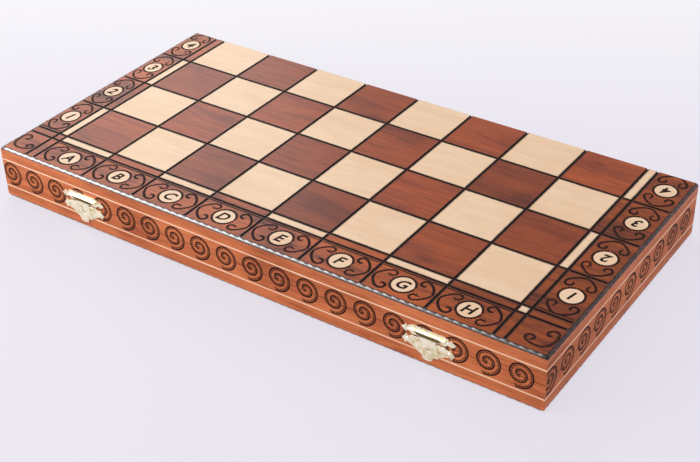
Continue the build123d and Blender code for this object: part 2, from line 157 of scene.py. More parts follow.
def make_grain():
    """Wood grain: long wavy bands, fine pores and slow clouds, all stretched along the board.
    Stretch holds how many bands fit in a metre each way."""
    group, given, made = new_group(
        "wood_grain",
        [("Vector", "Vector"), ("Stretch", "Vector"), ("Pale", "Color"), ("Deep", "Color")],
        [("Color", "Color"), ("Height", "Float")],
    )
    place, stretch, pale, deep = given.outputs[:4]
    along = vector(group, "MULTIPLY", place, stretch)
    sway = put(group, "TexNoise", {"Vector": place, "Scale": 9.0, "Detail": 2.0}).outputs[1]
    pushed = vector(group, "MULTIPLY_ADD", sway, (0.9, 0.9, 0.9), along)
    bands = speckle(group, pushed, 1.0, 5.0, 0.62)
    pores = speckle(group, vector(group, "MULTIPLY", pushed, (3.0, 9.0, 9.0)), 1.0, 3.0, 0.7)
    clouds = speckle(group, place, 22.0, 2.0)
    streaks = calc(group, "MULTIPLY", band(group, pores, 0.42, 0.68), 0.45)
    mask = calc(group, "MULTIPLY_ADD", band(group, bands, 0.36, 0.68), 0.5, streaks)
    mask = calc(group, "MULTIPLY_ADD", band(group, clouds, 0.45, 0.75), 0.35, mask)
    colour = blended(group, calc(group, "MINIMUM", mask, 1.0), pale, deep)
    group.links.new(colour, made.inputs[0])
    group.links.new(calc(group, "SUBTRACT", 1.0, pores), made.inputs[1])
    return group


grain_group = make_grain()
ALONG_X = (7.0, 60.0, 60.0)
ALONG_Y = (60.0, 7.0, 60.0)
FINE_ALONG_X = (9.0, 70.0, 70.0)


def grained(tree, place, stretch, pale, deep):
    """A wood_grain group in a material, read at place."""
    node = tree.nodes.new("ShaderNodeGroup")
    node.node_tree = grain_group
    tree.links.new(place, node.inputs[0])
    node.inputs[1].default_value = stretch
    node.inputs[2].default_value = pale
    node.inputs[3].default_value = deep
    return node.outputs[0], node.outputs[1]


def new_material(name, **sockets):
    """A material, its tree, its Principled shader with the plain sockets set, and its object coordinates."""
    material = bpy.data.materials.new(name)
    material.use_nodes = True
    tree = material.node_tree
    shader = tree.nodes["Principled BSDF"]
    for key, value in sockets.items():
        shader.inputs[key.replace("_", " ")].default_value = value
    place = put(tree, "TexCoord").outputs["Object"]
    return material, tree, shader, place


def bump(tree, shader, height, strength, distance):
    """Feeds a height to the shader's normal."""
    node = put(tree, "Bump", {"Height": height, "Strength": strength, "Distance": distance})
    tree.links.new(node.outputs[0], shader.inputs["Normal"])


def cell_offset(tree, value, start):
    """Distance from value to the middle of its square, counted from start."""
    turned = calc(tree, "FRACT", calc(tree, "DIVIDE", calc(tree, "SUBTRACT", value, start), SQUARE))
    return calc(tree, "MULTIPLY", calc(tree, "SUBTRACT", turned, 0.5), SQUARE)


def within(tree, value, low, high):
    """1 where low < value < high."""
    above = calc(tree, "GREATER_THAN", value, low)
    return calc(tree, "MULTIPLY", above, calc(tree, "LESS_THAN", value, high))


def board_material(name, face_z, dark_if_odd):
    """Squares, strip, discs and burned lines of one half, from x and y; plain side wood off the face."""
    material, tree, shader, place = new_material(
        name, Roughness=0.42, Coat_Weight=0.08, Coat_Roughness=0.22, Specular_IOR_Level=0.10
    )
    x, y, z = put(tree, "SeparateXYZ", {0: place}).outputs
    file, rank = [
        calc(tree, "FLOOR", calc(tree, "DIVIDE", calc(tree, "SUBTRACT", v, start), SQUARE))
        for v, start in ((x, FIRST_FILE), (y, FIRST_RANK))
    ]
    odd = calc(tree, "FLOORED_MODULO", calc(tree, "ADD", file, rank), 2.0)
    light = calc(tree, "SUBTRACT", 1.0, odd) if dark_if_odd else odd
    on_files = within(tree, x, FIRST_FILE, LAST_FILE)
    squares = calc(tree, "MULTIPLY", on_files, calc(tree, "GREATER_THAN", y, FIRST_RANK))
    on_strip = within(tree, x, FIRST_FILE - STRIP, LAST_FILE + STRIP)
    field = calc(tree, "MULTIPLY", on_strip, calc(tree, "GREATER_THAN", y, FIRST_RANK - STRIP))
    across, along = cell_offset(tree, x, FIRST_FILE), cell_offset(tree, y, FIRST_RANK)

    def disc(first, second, value, low, high):
        """1 where first and second, squared and added, stay inside a disc and low < value < high."""
        squared = calc(tree, "ADD", calc(tree, "POWER", first, 2.0), calc(tree, "POWER", second, 2.0))
        inside = band(tree, calc(tree, "SQRT", squared), DISC_RADIUS + EDGE_SOFT, DISC_RADIUS - EDGE_SOFT)
        return calc(tree, "MULTIPLY", inside, within(tree, value, low, high))

    discs = disc(across, calc(tree, "SUBTRACT", y, FRONT_DISC_Y), x, FIRST_FILE, LAST_FILE)
    for disc_x in (LEFT_DISC_X, RIGHT_DISC_X):
        at_end = disc(calc(tree, "SUBTRACT", x, disc_x), along, y, FIRST_RANK, HALF_DEPTH)
        discs = calc(tree, "MAXIMUM", discs, at_end)
    lines = [calc(tree, "SUBTRACT", SQUARE / 2, calc(tree, "ABSOLUTE", v)) for v in (across, along)]
    for value, at in ((x, FIRST_FILE - STRIP), (x, LAST_FILE + STRIP), (y, FIRST_RANK - STRIP)):
        lines.append(apart(tree, value, at))
    nearest = lines[0]
    for line in lines[1:]:
        nearest = calc(tree, "MINIMUM", nearest, line)
    wobble = speckle(tree, place, 420.0, 2.0)
    nearest = calc(tree, "MULTIPLY_ADD", calc(tree, "SUBTRACT", wobble, 0.5), LINE_WOBBLE, nearest)
    burned = band(tree, nearest, LINE_HALF + EDGE_SOFT, LINE_HALF - EDGE_SOFT)
    scorched = calc(tree, "MULTIPLY", band(tree, nearest, LINE_HALF + SCORCH_REACH, LINE_HALF), 0.6)
    end_gap = calc(tree, "SUBTRACT", HALF_LENGTH, calc(tree, "ABSOLUTE", x))
    rim = calc(tree, "MINIMUM", end_gap, calc(tree, "ADD", y, HALF_DEPTH))
    rim = calc(tree, "MULTIPLY_ADD", wobble, RIM_WOBBLE, rim)
    rim_char = band(tree, rim, RIM_CHAR + 0.0006, RIM_CHAR)

    stained, pores = grained(tree, place, ALONG_X, STAIN, STAIN_DEEP)
    cell = put(tree, "CombineXYZ", {0: file, 1: rank}).outputs[0]
    tone = put(tree, "TexWhiteNoise", {"Vector": cell}, noise_dimensions="3D").outputs[0]
    stained = shaded(tree, stained, calc(tree, "MULTIPLY_ADD", tone, TONE_SPREAD, TONE_LOW))
    border = grained(tree, place, ALONG_X, BORDER, BORDER_DEEP)[0]
    # Painted shade: the border darkens towards the right end, to about two thirds of its colour at the edge.
    right_end_shade = calc(tree, "MULTIPLY_ADD", band(tree, x, SHADE_START, SHADE_END), -0.45, 1.05)
    border = shaded(tree, border, right_end_shade)
    pale = grained(tree, place, FINE_ALONG_X, PALE_SQUARE, PALE_STREAK)[0]
    side_wood = grained(tree, place, ALONG_X, SIDE_WOOD, SIDE_DEEP)[0]
    off_face = calc(tree, "GREATER_THAN", apart(tree, z, face_z), STAIN_DEPTH)
    at_rear = calc(tree, "GREATER_THAN", y, HALF_DEPTH - REAR_SKIN)
    colour = blended(tree, light, blended(tree, squares, border, stained), pale)
    colour = blended(tree, field, border, colour)
    layers = (
        (discs, pale), (scorched, SCORCH_AND_SHADE), (burned, CHAR), (rim_char, CHAR),
        (calc(tree, "MAXIMUM", off_face, at_rear), side_wood),
    )
    for mask, over in layers:
        colour = blended(tree, mask, colour, over)
    tree.links.new(colour, shader.inputs["Base Color"])
    tree.links.new(calc(tree, "MULTIPLY_ADD", burned, 0.2, 0.40), shader.inputs["Roughness"])
    bump(tree, shader, pores, 0.10, 0.0004)
    return material


def dress(node, material):
    """Gives a CAD node its material."""
    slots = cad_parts[node].data.materials
    slots.clear()
    slots.append(material)


dress("upper_board_panel", board_material("board_upper", THICKNESS, False))
dress("lower_board_panel", board_material("board_lower", 0.0, True))


# Burned scrollwork on the borders. A hot needle draws a pair of C scrolls, one plain and one beaded,
# on each side of every disc, a toothed ring round the disc, and a scroll in each corner. The char
# swells a little out of the wood, so each line is a thin moulded strip.

RIM = -0.00002
RIDGE = 0.00005
DOT = 0.00007
DOT_SIDES = 6
STROKE = 0.0025
BEAD = 0.0011
BEAD_STEP = 0.00195
FINE = 0.0007
CHAR_SPECK = (0.045, 0.017, 0.010, 1)


def charred(name, scale, high, speck, strength, distance, **sockets):
    """Burned wood: char with brown specks, and the crackle of its surface."""
    material, tree, shader, place = new_material(name, **sockets)
    crackle = speckle(tree, place, scale, 3.0)
    colour = blended(tree, band(tree, crackle, 0.45, high), CHAR, speck)
    tree.links.new(colour, shader.inputs["Base Color"])
    bump(tree, shader, crackle, strength, distance)
    return material, tree, shader, place


char_material = charred(
    "burned_line", 900.0, 0.8, CHAR_SPECK, 0.35, 0.0003, Roughness=0.55, Specular_IOR_Level=0.03
)[0]


class Drawing:
    """Flat ornament gathered as arrays of (u, v, height) points and faces, then laid on a face."""

    def __init__(self):
        self.points, self.faces, self.count = [], [], 0

    def add(self, points, faces):
        """Adds an (n, 3) array of points and the faces between them."""
        self.points.append(points)
        self.faces.append(faces + self.count)
        self.count += len(points)

    def line(self, path, width=STROKE):
        """A strip along a path: its rims lie just under the face, and it is highest beside them."""
        across = np.array([-0.5, -0.33, 0.0, 0.33, 0.5]) * width
        heights = np.array([RIM, RIDGE, 0.4 * RIDGE, RIDGE, RIM])
        taper = np.clip(np.minimum(np.arange(len(path)), np.arange(len(path))[::-1]) / 2.0, 0.25, 1.0)
        flat = path[:, None, :] + sideways(path)[:, None, :] * (across[None, :, None] * taper[:, None, None])
        points = np.concatenate([flat, np.broadcast_to(heights[None, :, None], flat.shape[:2] + (1,))], 2)
        self.add(points.reshape(-1, 3), grid_faces(len(path), len(across)))

    def dots(self, centres, radius=BEAD):
        """Low domes: a ring just under the face and a point above its middle."""
        dome = np.vstack([np.column_stack([circle(radius, DOT_SIDES), np.full(DOT_SIDES, RIM)]), [[0, 0, DOT]]])
        points = dome[None] + np.column_stack([centres, np.zeros(len(centres))])[:, None, :]
        ring, top = np.arange(DOT_SIDES), np.full(DOT_SIDES, DOT_SIDES)
        fan = np.stack([ring, np.roll(ring, -1), top, top], 1)
        faces = fan[None] + np.arange(len(centres))[:, None, None] * len(dome)
        self.add(points.reshape(-1, 3), faces.reshape(-1, 4))

    def beaded(self, path, width=STROKE * 0.72, outwards=0.0):
        """A fine line with a bead at every step, a little to its left, as a toothed wheel leaves it."""
        self.line(resampled(path, FINE), width)
        spots = resampled(path, BEAD_STEP)
        self.dots(spots + sideways(spots) * outwards)

    def moved(self, turn, at, squeeze=1.0):
        """The points and faces, squeezed along v, turned and shifted in the plane."""
        points = np.vstack(self.points) * np.array([1, squeeze, 1])
        c, s = np.cos(turn), np.sin(turn)
        points[:, :2] = points[:, :2] @ np.array([[c, s], [-s, c]]) + np.array(at)
        return points, np.vstack(self.faces)


def circle(radius, count):
    """Points at even angles round the origin: (cos, sin) * radius."""
    turn = np.arange(count) * 2 * np.pi / count
    return np.stack([np.cos(turn), np.sin(turn)], 1) * radius


def grid_faces(rows, columns):
    """Quads between neighbours of a rows by columns grid of points."""
    i, j = np.meshgrid(np.arange(rows - 1), np.arange(columns - 1), indexing="ij")
    a = (i * columns + j).ravel()
    return np.stack([a, a + columns, a + columns + 1, a + 1], 1)


def resampled(path, step):
    """Points at an even step along a path."""
    length = np.concatenate([[0], np.cumsum(np.linalg.norm(np.diff(path, axis=0), axis=1))])
    count = max(int(length[-1] / step), 2)
    at = np.linspace(0, length[-1], count + 1)
    return np.stack([np.interp(at, length, path[:, 0]), np.interp(at, length, path[:, 1])], 1)


def sideways(path):
    """Unit vectors to the left of a path, at each of its points."""
    step = np.gradient(path, axis=0)
    return np.stack([-step[:, 1], step[:, 0]], 1) / np.linalg.norm(step, axis=1)[:, None]


def curve(points, steps=14):
    """A smooth path through points in millimetres: a Catmull-Rom spline, in metres."""
    p = np.array(points, float) / 1000
    p = np.vstack([2 * p[0] - p[1], p, 2 * p[-1] - p[-2]])
    t = np.linspace(0, 1, steps, endpoint=False)[:, None]
    spans = []
    for a, b, c, d in zip(p[:-3], p[1:-2], p[2:-1], p[3:]):
        bend, twist = 2 * a - 5 * b + 4 * c - d, 3 * b - a - 3 * c + d
        spans.append(0.5 * (2 * b + (c - a) * t + bend * t**2 + twist * t**3))
    return np.vstack(spans + [p[-2:-1]])


HEAVY = (
    (-24.3, 0.8), (-24.0, -2.6), (-22.2, -6.2), (-19.2, -9.6), (-16.0, -11.8), (-12.8, -11.8),
    (-10.8, -9.6), (-11.2, -6.9), (-13.6, -5.6), (-16.0, -6.8),
)
LIGHT = (
    (-24.3, 0.0), (-23.6, 3.2), (-21.2, 6.6), (-18.2, 9.6), (-15.2, 11.4), (-12.4, 11.2), (-10.8, 9.2),
    (-11.4, 6.7), (-13.8, 5.6), (-16.0, 6.8),
)
TEETH = 28
TEETH_RADIUS = DISC_RADIUS + 0.0019
TOOTH = 0.0008
RING_RADIUS = DISC_RADIUS + 0.0008
RING_WIDTH = 0.0019
RING_STEPS = 60
SCROLL_BEADS_OUT = 0.0008


def cell_drawing():
    """The ornament round one disc: the toothed ring, and a pair of scrolls on both sides. The second
    pair is the first, turned half round."""
    art = Drawing()
    ring = circle(RING_RADIUS, RING_STEPS)
    art.line(np.vstack([ring, ring[:1]]), RING_WIDTH)
    art.dots(circle(TEETH_RADIUS, TEETH), TOOTH)
    for side in (-1.0, 1.0):
        art.line(resampled(curve(HEAVY), FINE) * side)
        art.beaded(curve(LIGHT) * side, outwards=SCROLL_BEADS_OUT)
    return art


CORNER = (
    (7.4, 21.9), (11.1, 21.3), (12.4, 25.6), (8.0, 28.6), (4.2, 26.0), (3.6, 18.8), (5.4, 11.9),
    (9.9, 8.1), (16.8, 7.9), (23.2, 10.6), (24.4, 15.0), (21.1, 17.3), (17.6, 15.4), (18.2, 12.2),
    (21.1, 11.6),
)


CORNER_LINE = 0.0017
CORNER_BEADS_IN = 0.0013
BEAD_LINE = 0.0012
FRONT_BEADS_Y = FIRST_RANK - STRIP - 0.0026
FRONT_BEADS_HALF = 0.0252
CROSS_BEADS_Y = FIRST_RANK + 0.0032
CROSS_BEADS_IN = 0.0024
CROSS_BEADS_RIM = 0.0040
LEFT_SQUEEZE = 0.84


def corner_drawing():
    """A scroll round the corner with both ends curled, beaded along its inside."""
    art = Drawing()
    path = resampled(curve(CORNER), FINE)
    art.line(path, CORNER_LINE)
    inside = resampled(path, BEAD_STEP)
    art.dots((inside + sideways(inside) * CORNER_BEADS_IN)[1:-1], TOOTH)
    return art


def run_of_beads(art, start, end):
    """A straight beaded line."""
    art.beaded(np.array([start, end]), BEAD_LINE)


def only(points, faces, kept):
    """The kept faces, with only the points that they use."""
    used, renamed = np.unique(faces[kept], return_inverse=True)
    return points[used], renamed.reshape(-1, 4)


def border_points():
    """All the ornament of one half board, in board coordinates."""
    art = Drawing()
    cell = cell_drawing()
    middles = SQUARE * (np.arange(8) + 0.5)
    for u in FIRST_FILE + middles:
        art.add(*cell.moved(0.0, (u, FRONT_DISC_Y)))
        run_of_beads(art, (u - FRONT_BEADS_HALF, FRONT_BEADS_Y), (u + FRONT_BEADS_HALF, FRONT_BEADS_Y))
    for v in FIRST_RANK + middles[:4]:
        art.add(*cell.moved(np.pi / 2, (LEFT_DISC_X, v), LEFT_SQUEEZE))
        art.add(*cell.moved(np.pi / 2, (RIGHT_DISC_X, v)))
    points, faces = corner_drawing().moved(0.0, (-HALF_LENGTH, -HALF_DEPTH))
    art.add(points, faces)
    art.add(points * np.array([-1, 1, 1]), faces[:, ::-1])
    for side, edge in ((-1, FIRST_FILE - STRIP), (1, LAST_FILE + STRIP)):
        start, end = edge + side * CROSS_BEADS_IN, side * (HALF_LENGTH - CROSS_BEADS_RIM)
        run_of_beads(art, (start, CROSS_BEADS_Y), (end, CROSS_BEADS_Y))
    points, faces = np.vstack(art.points), np.vstack(art.faces)
    points, faces = only(points, faces, points[faces][:, :, 1].mean(1) < HALF_DEPTH)
    points[:, 1] = np.minimum(points[:, 1], HALF_DEPTH)
    return points, faces


def surface(name, points, faces, material, body, slot, smooth=True):
    """Makes a mesh piece from arrays and gives it its material and body."""
    mesh = bpy.data.meshes.new(name)
    rows = faces.tolist()
    if faces.shape[1] == 4:
        rows = [row[:3] if row[2] == row[3] else row for row in rows]
    mesh.from_pydata(points.tolist(), [], rows)
    mesh.materials.append(material)
    mesh.polygons.foreach_set("use_smooth", np.full(len(mesh.polygons), smooth))
    piece = bpy.data.objects.new(name, mesh)
    bpy.context.scene.collection.objects.link(piece)
    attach(piece, body)
    return piece


def on_upper(points):
    """Board coordinates to the top face."""
    return np.stack([points[:, 0], points[:, 1], THICKNESS + points[:, 2]], 1)


def on_lower(points):
    """Board coordinates to the underside, where a height points down."""
    return np.stack([points[:, 0], points[:, 1], -points[:, 2]], 1)


border, border_faces = border_points()
surface("upper_burned_scrolls", on_upper(border), border_faces, char_material, "upper_box", "stained_birch")
border_faces = border_faces[:, ::-1]
surface("lower_burned_scrolls", on_lower(border), border_faces, char_material, "lower_box", "stained_birch")


# Letters and figures, burned into the pale discs by hand: the files along the clasp side of both
# halves and the ranks at both ends. Those at the right are turned to face the other player, as in
# the photograph, and so are the letters of the far half.

LETTER_SIZE = 0.0135
LETTER_WEIGHT = 0.00038
LETTER_LEAN = 0.22
LETTER_DEPTH = RIDGE * 0.8
LETTER_LIFT = RIDGE * 0.3


def letter_points(text):
    """A letter's outline as a thin slab about its own middle, from the built-in font."""
    drawing = bpy.data.curves.new("letter", "FONT")
    drawing.body = text
    drawing.size = LETTER_SIZE
    drawing.offset = LETTER_WEIGHT
    drawing.extrude = LETTER_DEPTH
    drawing.resolution_u = 3
    drawn = bpy.data.objects.new("letter", drawing)
    bpy.context.scene.collection.objects.link(drawn)
    bpy.context.view_layer.update()
    mesh = bpy.data.meshes.new_from_object(drawn.evaluated_get(bpy.context.evaluated_depsgraph_get()))
    points = np.zeros(len(mesh.vertices) * 3)
    mesh.vertices.foreach_get("co", points)
    points = points.reshape(-1, 3)
    mesh.calc_loop_triangles()
    triangles = np.zeros(len(mesh.loop_triangles) * 3, int)
    mesh.loop_triangles.foreach_get("vertices", triangles)
    bpy.data.objects.remove(drawn)
    bpy.data.curves.remove(drawing)
    bpy.data.meshes.remove(mesh)
    middle = (points.min(0) + points.max(0)) / 2
    return points - middle, triangles.reshape(-1, 3)


def joined(parts):
    """Puts (points, faces) pairs together. Each pair's faces count on from the points before it."""
    starts = np.cumsum([0] + [len(points) for points, faces in parts[:-1]])
    faces = [faces + start for (points, faces), start in zip(parts, starts)]
    return np.vstack([points for points, faces in parts]), np.vstack(faces)


def letters_piece(name, places, body, face_z, outward):
    """Sets each (text, x, y, right, up) on the face; right and up are signs along X and Y."""
    parts = []
    for text, x, y, right, up in places:
        points, faces = letter_points(text)
        lean = points[:, 1] * LETTER_LEAN
        placed = np.stack([x + right * (points[:, 0] + lean), y + up * points[:, 1],
                           face_z + outward * (points[:, 2] + LETTER_LIFT)], 1)
        parts.append((placed, faces[:, ::-1] if right * up * outward < 0 else faces))
    return surface(name, *joined(parts), char_material, body, "stained_birch", False)


def letter_places(ranks, right, up):
    """The letters and figures of one half. right and up give which way a figure at the left reads."""
    turned = 1 if ranks[0] == 1 else -1
    places = []
    for i, text in enumerate("ABCDEFGH"):
        places.append((text, FIRST_FILE + SQUARE * (i + 0.5), FRONT_DISC_Y, turned * right, turned * up))
    for j, rank in enumerate(ranks):
        v = FIRST_RANK + SQUARE * (j + 0.5)
        places.append((str(rank), LEFT_DISC_X, v, right, up))
        places.append((str(rank), RIGHT_DISC_X, v, -right, -up))
    return places


letters_piece("upper_letters", letter_places((1, 2, 3, 4), 1, 1), "upper_box", THICKNESS, 1)
letters_piece("lower_letters", letter_places((8, 7, 6, 5), 1, -1), "lower_box", 0.0, -1)


# Rope edge. The outer corners of both boards are pressed with a hot roller into a rope moulding,
# then varnished. A strand's bulge turns round the edge as it runs along it.

ROPE_RADIUS = 0.0022
ROPE_PITCH = 0.0220
ROPE_STRANDS = 3
ROPE_STEP = 0.0008
ROPE_SIDES = 14
ROPE_SPECK = (0.09, 0.035, 0.018, 1)


def ring_faces(rings, count):
    """Quads between neighbouring rings of count points each."""
    i, j = np.meshgrid(np.arange(rings - 1), np.arange(count), indexing="ij")
    a, b = (i * count + j).ravel(), (i * count + (j + 1) % count).ravel()
    return np.stack([a, b, b + count, a + count], 1)


def rope(start, end):
    """A tube from start to end: radius = R (0.80 + 0.20 |cos|^0.6 of half the strand's angle)."""
    start, end = np.array(start), np.array(end)
    length = np.linalg.norm(end - start)
    ahead = (end - start) / length
    up = np.array([0, 0, 1.0])
    side = np.cross(up, ahead)
    t = np.linspace(0, length, int(length / ROPE_STEP))
    phi = np.arange(ROPE_SIDES) * 2 * np.pi / ROPE_SIDES
    strand = ROPE_STRANDS / 2 * (phi[None] - 2 * np.pi * t[:, None] / ROPE_PITCH)
    radius = ROPE_RADIUS * (0.80 + 0.20 * np.abs(np.cos(strand)) ** 0.6)
    around = np.cos(phi)[:, None] * side + np.sin(phi)[:, None] * up
    points = start + t[:, None, None] * ahead + radius[..., None] * around
    count = len(t) * ROPE_SIDES
    ring = np.arange(ROPE_SIDES)
    following = np.roll(ring, -1)
    first, last = np.full(ROPE_SIDES, count), np.full(ROPE_SIDES, count + 1)
    base = count - ROPE_SIDES
    near_cap = np.stack([following, ring, first, first], 1)
    far_cap = np.stack([base + ring, base + following, last, last], 1)
    faces = np.vstack([ring_faces(len(t), ROPE_SIDES), near_cap, far_cap])
    return np.vstack([points.reshape(-1, 3), start, end]), faces


def rope_finish():
    """Char under a thick varnish, which is thinner along the ends."""
    material, tree, shader, place = charred(
        "burned_rope", 160.0, 0.7, ROPE_SPECK, 0.3, 0.0006,
        Roughness=0.35, Specular_IOR_Level=0.3, Coat_Weight=1.0, Coat_Roughness=0.28, Coat_IOR=1.7,
    )
    x = calc(tree, "ABSOLUTE", put(tree, "SeparateXYZ", {0: place}).outputs[0])
    front = band(tree, x, HALF_LENGTH - 0.004, HALF_LENGTH - 0.006)
    tree.links.new(calc(tree, "MULTIPLY_ADD", front, 0.8, 0.2), shader.inputs["Coat Weight"])
    return material


rope_material = rope_finish()


def rope_edge(name, body, height):
    """Three lengths of rope, along the front and both ends of one board."""
    x, y = HALF_LENGTH - ROPE_RADIUS, -HALF_DEPTH + ROPE_RADIUS
    runs = (((-x, y), (x, y)), ((x, y), (x, HALF_DEPTH)), ((-x, HALF_DEPTH), (-x, y)))
    lengths = [rope((*start, height), (*end, height)) for start, end in runs]
    return surface(name, *joined(lengths), rope_material, body, "stained_birch")


rope_edge("upper_rope_edge", "upper_box", THICKNESS - ROPE_RADIUS)
rope_edge("lower_rope_edge", "lower_box", ROPE_RADIUS)


# Rails and stringing. The sides are solid alder, stained a warm orange brown, with a strip of pale
# wood let into a groove all round each half. The solids are the CAD nodes.


def rail_material(name, stretch):
    """Stained side wood with its grain along the rail, and painted shade along the seam between the halves."""
    material, tree, shader, place = new_material(
        name, Coat_Weight=0.06, Coat_Roughness=0.25, Roughness=0.5, Specular_IOR_Level=0.06
    )
    colour, pores = grained(tree, place, stretch, SIDE_WOOD, SIDE_DEEP)
    z = put(tree, "SeparateXYZ", {0: place}).outputs[2]
    # Painted shade along the seam between the halves: near it the wood darkens towards a dark brown, by a noisy
    # amount.
    painted_shade = calc(tree, "MULTIPLY_ADD", speckle(tree, place, 70.0, 3.0), 0.5, 0.15)
    near = calc(tree, "MULTIPLY", band(tree, apart(tree, z, SEAM), 0.0012, 0.0002), painted_shade)
    tree.links.new(blended(tree, near, colour, SCORCH_AND_SHADE), shader.inputs["Base Color"])
    bump(tree, shader, pores, 0.12, 0.0004)
    return material


def wood(name, stretch, pale, deep, strength, distance=0.0004, **sockets):
    """Plain finished wood: the grain gives its colour and the pores its bump."""
    material, tree, shader, place = new_material(name, **sockets)
    colour, pores = grained(tree, place, stretch, pale, deep)
    tree.links.new(colour, shader.inputs["Base Color"])
    bump(tree, shader, pores, strength, distance)
    return material


rail_materials = {"x": rail_material("rail_along_x", ALONG_X), "y": rail_material("rail_along_y", ALONG_Y)}
for half in ("upper", "lower"):
    for side in ("front", "rear"):
        dress(f"{half}_{side}_rail", rail_materials["x"])
    for side in ("left", "right"):
        dress(f"{half}_{side}_rail", rail_materials["y"])

INLAY = (0.96, 0.70, 0.47, 1)
INLAY_DEEP = (0.86, 0.52, 0.30, 1)
ROUND_THE_CASE = (20.0, 20.0, 200.0)
inlay_material = wood(
    "pale_inlay", ROUND_THE_CASE, INLAY, INLAY_DEEP, 0.1, 0.0003,
    Roughness=0.45, Coat_Weight=0.15, Coat_Roughness=0.25, Specular_IOR_Level=0.2,
)
for half in ("upper", "lower"):
    dress(f"{half}_stringing", inlay_material)


# Burned spirals round the sides, 26 mm apart: twenty along the front, fifteen along the rear, where
# none are drawn beside the hinges, and ten along each end.
# A hot wheel with teeth draws each across the closed seam, so each half keeps its own part of it.

SPIRAL_PITCH = 0.47 * SQUARE
SPIRAL_FIRST_X = FIRST_FILE - 0.5 * SQUARE
SPIRAL_FIRST_Y = FIRST_RANK - 0.69 * SQUARE
SPIRAL_Z = SEAM + 0.0014
SPIRAL_OUTER = 0.0106
SPIRAL_SHRINK = 0.0050
CORNER_CLEAR = 0.0006
SPIRAL_START = -1.9
SPIRAL_END = 11.4
SPIRAL_STEPS = 180
SPIRAL_FINE = 0.0006
SPIRAL_LINE = 0.0015
SPIRAL_TOOTH = 0.0010
SPIRAL_TEETH_STEP = 0.00175
SPIRAL_TEETH_IN = 0.0015
SEAM_CLEAR = 0.00012
HINGE_CLEAR = 0.031


def spiral_drawing():
    """radius = outer - shrink * turns, from the tail below the middle round to the eye, with teeth inside."""
    art = Drawing()
    turn = np.linspace(SPIRAL_START, SPIRAL_END, SPIRAL_STEPS)
    radius = SPIRAL_OUTER - SPIRAL_SHRINK * turn / (2 * np.pi)
    path = np.stack([np.cos(turn), np.sin(turn)], 1) * radius[:, None]
    art.line(resampled(path, SPIRAL_FINE), SPIRAL_LINE)
    inner = path * (1 - SPIRAL_TEETH_IN / radius)[:, None]
    art.dots(resampled(inner, SPIRAL_TEETH_STEP), SPIRAL_TOOTH)
    return art


spiral = spiral_drawing()
spiral_points, spiral_faces = np.vstack(spiral.points), np.vstack(spiral.faces)


def spiral_row(centres, right, outward, face):
    """Spirals at each centre along one side. right and outward are unit vectors; face is a point on it."""
    right, outward, face = np.array(right), np.array(outward), np.array(face)
    base = face + spiral_points[:, :1] * right + spiral_points[:, 2:] * outward
    base = base + spiral_points[:, 1:2] * np.array([0, 0, 1.0])
    points = (base[None] + np.array(centres)[:, None, None] * np.abs(right)).reshape(-1, 3)
    faces = (spiral_faces[None] + (np.arange(len(centres)) * len(base))[:, None, None]).reshape(-1, 4)
    axis = int(np.argmax(np.abs(right)))
    limit = (HALF_LENGTH, HALF_DEPTH)[axis] - CORNER_CLEAR
    kept = np.abs(points[faces][:, :, axis].mean(1)) < limit
    points[:, axis] = np.clip(points[:, axis], -limit, limit)
    return points, faces[kept]


LONG_ROW = SPIRAL_FIRST_X + SPIRAL_PITCH * np.arange(20)
END_ROW = SPIRAL_FIRST_Y + SPIRAL_PITCH * np.arange(10)
HINGES = (-0.160, 0.160)
clear_of_hinges = [x for x in LONG_ROW if min(abs(x - h) for h in HINGES) > HINGE_CLEAR]
rows = [
    spiral_row(LONG_ROW, (1, 0, 0), (0, -1, 0), (0, -HALF_DEPTH, SPIRAL_Z)),
    spiral_row(END_ROW, (0, 1, 0), (1, 0, 0), (HALF_LENGTH, 0, SPIRAL_Z)),
    spiral_row(END_ROW, (0, -1, 0), (-1, 0, 0), (-HALF_LENGTH, 0, SPIRAL_Z)),
    spiral_row(clear_of_hinges, (-1, 0, 0), (0, 1, 0), (0, HALF_DEPTH, SPIRAL_Z)),
]


def half_of(rows, sign):
    """The faces whose middle lies on one side of the seam, with their points held clear of it."""
    points, faces = joined(rows)
    points, faces = only(points, faces, (points[faces][:, :, 2].mean(1) - SEAM) * sign > 0)
    limit = SEAM + sign * SEAM_CLEAR
    points[:, 2] = np.maximum(points[:, 2], limit) if sign > 0 else np.minimum(points[:, 2], limit)
    return points, faces


surface("upper_burned_spirals", *half_of(rows, 1), char_material, "upper_box", "rail_wood")
surface("lower_burned_spirals", *half_of(rows, -1), char_material, "lower_box", "rail_wood")


# Brass: two stamped clasps at the front and two butt hinges at the rear, in thin plated sheet, pale
# and bright. The solids are the CAD nodes; the stamping on the clasps is laid on their faces.

CLASPS = (-0.167, 0.167)
CLASP_AXIS_Z = SEAM + 0.0045
KNUCKLE_REACH = 0.0105
KNUCKLE_DROP = 0.0012
BRIGHT_BRASS = (0.98, 0.92, 0.70, 1)
DULL_BRASS = (0.70, 0.56, 0.30, 1)
# The next colour is painted shade, laid under the knuckles of the clasps.
KNUCKLE_SHADE = (0.16, 0.105, 0.045, 1)


